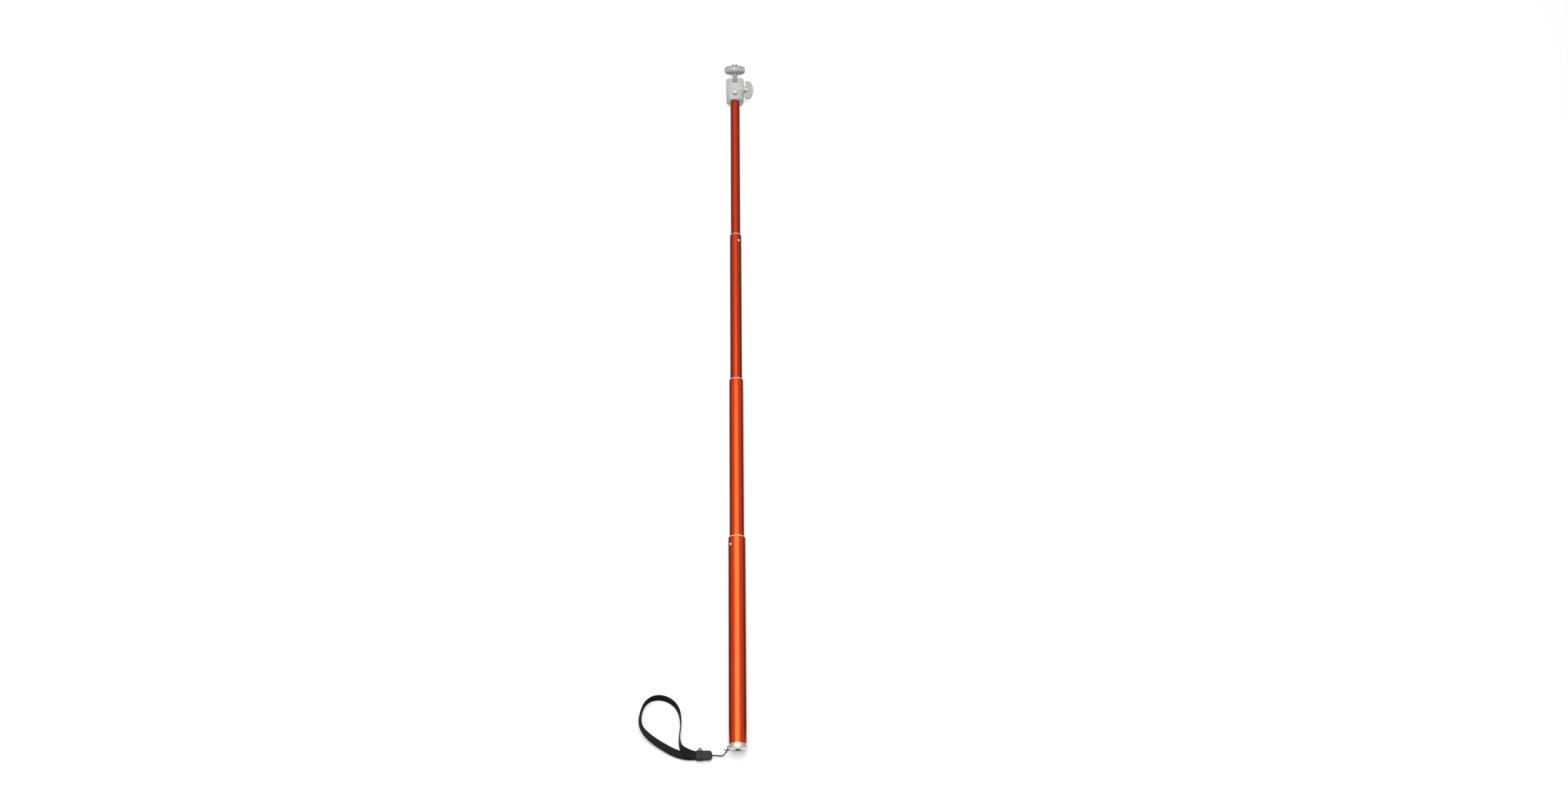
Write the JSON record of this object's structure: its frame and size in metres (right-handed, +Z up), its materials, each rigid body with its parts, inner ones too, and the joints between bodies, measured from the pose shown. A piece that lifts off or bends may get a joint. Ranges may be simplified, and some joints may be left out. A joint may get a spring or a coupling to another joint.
{
  "type": "selfie stick",
  "caption": "Telescopic hand-held pole, four sliding tubes, with a clamped ball head and camera screw at one end and a wrist strap and threaded socket at the other.",
  "frame": {"origin": "centre of the threaded base socket's mouth, on the pole's axis", "axes": "+Y along the pole from the base to the camera platform, +Z up from the table and the head's front, +X the clamp wing's side"},
  "size_m": [0.1395, 0.9696, 0.0334],
  "materials": {
    "anodised_orange": "orange-red anodised, satin gloss",
    "bushing_plastic": "natural acetal, smooth",
    "polished_aluminium": "turned and polished",
    "satin_aluminium": "turned, plain",
    "steel": "bright zinc plated",
    "chrome": "bright chrome plated",
    "brass": "turned, plain",
    "frosted_clear": "frosted clear polycarbonate",
    "black_rubber": "matt",
    "black_plastic": "moulded, fine grain",
    "black_cord": "braided nylon cord",
    "black_webbing": "woven nylon webbing"
  },
  "bodies": {
    "handle": {"handle_tube": "anodised_orange", "handle_bushing": "bushing_plastic", "base_cap": "polished_aluminium", "base_insert": "steel", "base_bumper": "black_rubber", "strap_hitch": "black_cord", "strap_cord": "black_cord", "strap_clip": "black_plastic", "strap_sleeve": "black_plastic", "strap_webbing": "black_webbing"},
    "bush_2": {"friction_bush_2": "bushing_plastic"},
    "tube_2": {"tube_2": "anodised_orange", "tube_2_bushing": "bushing_plastic"},
    "bush_3": {"friction_bush_3": "bushing_plastic"},
    "tube_3": {"tube_3": "anodised_orange", "tube_3_bushing": "bushing_plastic"},
    "bush_4": {"friction_bush_4": "bushing_plastic"},
    "tube_4": {"tube_4": "anodised_orange", "head_spigot": "satin_aluminium", "head_body": "frosted_clear", "head_screw": "chrome", "clamp_insert": "brass"},
    "clamp_washer": {"clamp_washer": "steel"},
    "clamp": {"clamp_screw": "steel", "clamp_wing": "frosted_clear"},
    "cup": {"ball_cup": "bushing_plastic"},
    "ball": {"ball": "chrome"},
    "stem": {"ball_stem": "chrome"},
    "platform": {"platform_disc": "frosted_clear", "platform_pad": "black_rubber", "camera_stud": "steel"}
  },
  "joints": [
    {"name": "tube_2_slide", "type": "slide", "parent": "handle", "child": "bush_2", "axis": [0, -1, 0], "range_m": [0, 0.212]},
    {"name": "tube_2_turn", "type": "hinge", "parent": "bush_2", "child": "tube_2", "pos_m": [0, 0.26, 0], "axis": [0, 1, 0], "continuous": true},
    {"name": "tube_3_slide", "type": "slide", "parent": "tube_2", "child": "bush_3", "axis": [0, -1, 0], "range_m": [0, 0.212]},
    {"name": "tube_3_turn", "type": "hinge", "parent": "bush_3", "child": "tube_3", "pos_m": [0, 0.474, 0], "axis": [0, 1, 0], "continuous": true},
    {"name": "tube_4_slide", "type": "slide", "parent": "tube_3", "child": "bush_4", "axis": [0, -1, 0], "range_m": [0, 0.214]},
    {"name": "tube_4_turn", "type": "hinge", "parent": "bush_4", "child": "tube_4", "pos_m": [0, 0.688, 0], "axis": [0, 1, 0], "continuous": true},
    {"name": "clamp_travel", "type": "slide", "parent": "tube_4", "child": "clamp_washer", "axis": [1, 0, 0], "range_m": [0, 0.0016]},
    {"name": "clamp_turn", "type": "hinge", "parent": "clamp_washer", "child": "clamp", "pos_m": [0, 0.9234, 0], "axis": [1, 0, 0], "range_deg": [0, 721]},
    {"name": "cup_lift", "type": "slide", "parent": "tube_4", "child": "cup", "axis": [0, -1, 0], "range_m": [0, 0.000766]},
    {"name": "ball_side_tilt", "type": "hinge", "parent": "tube_4", "child": "ball", "pos_m": [0, 0.932, 0], "axis": [0, 0, 1], "range_deg": [-18, 18]},
    {"name": "ball_front_tilt", "type": "hinge", "parent": "ball", "child": "stem", "pos_m": [0, 0.932, 0], "axis": [1, 0, 0], "range_deg": [-44, 63]},
    {"name": "platform_spin", "type": "hinge", "parent": "stem", "child": "platform", "pos_m": [0, 0.94844, 0.00732], "axis": [0, 0.9135, 0.4067], "continuous": true}
  ],
  "couplings": [
    {"joint": "clamp_turn", "follows": "clamp_travel", "rad_per_m": 7854},
    {"joint": "cup_lift", "follows": "clamp_travel", "ratio": 0.46631}
  ]
}
